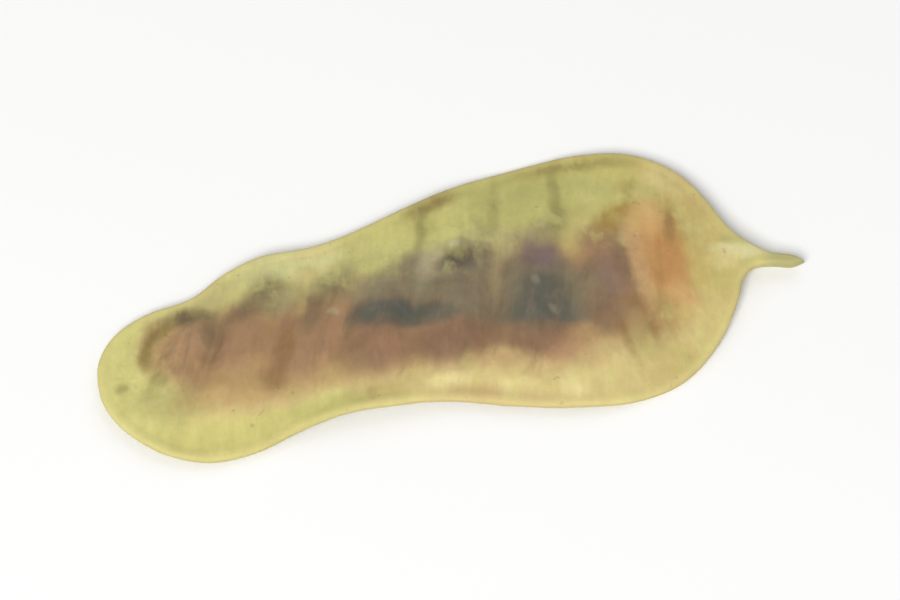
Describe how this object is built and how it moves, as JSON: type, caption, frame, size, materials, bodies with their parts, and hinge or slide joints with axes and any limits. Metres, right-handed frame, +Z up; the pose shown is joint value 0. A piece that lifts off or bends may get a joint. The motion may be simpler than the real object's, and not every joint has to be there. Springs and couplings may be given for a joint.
{
  "type": "senna pod",
  "caption": "Dried senna pod lying on its side: a flat, kidney-shaped legume with a corded rim, a row of low seed swellings and its short stalk.",
  "frame": {"origin": "middle of the pod's box, on the surface that it lies on", "axes": "+X along the pod to its stalk, +Y across it to the arched edge, +Z up through its thin direction"},
  "size_m": [0.0538, 0.0218, 0.0029],
  "materials": {
    "dry_pod": "papery dry husk, semi-matte"
  },
  "bodies": {
    "root": {"pod": "dry_pod"}
  },
  "joints": []
}
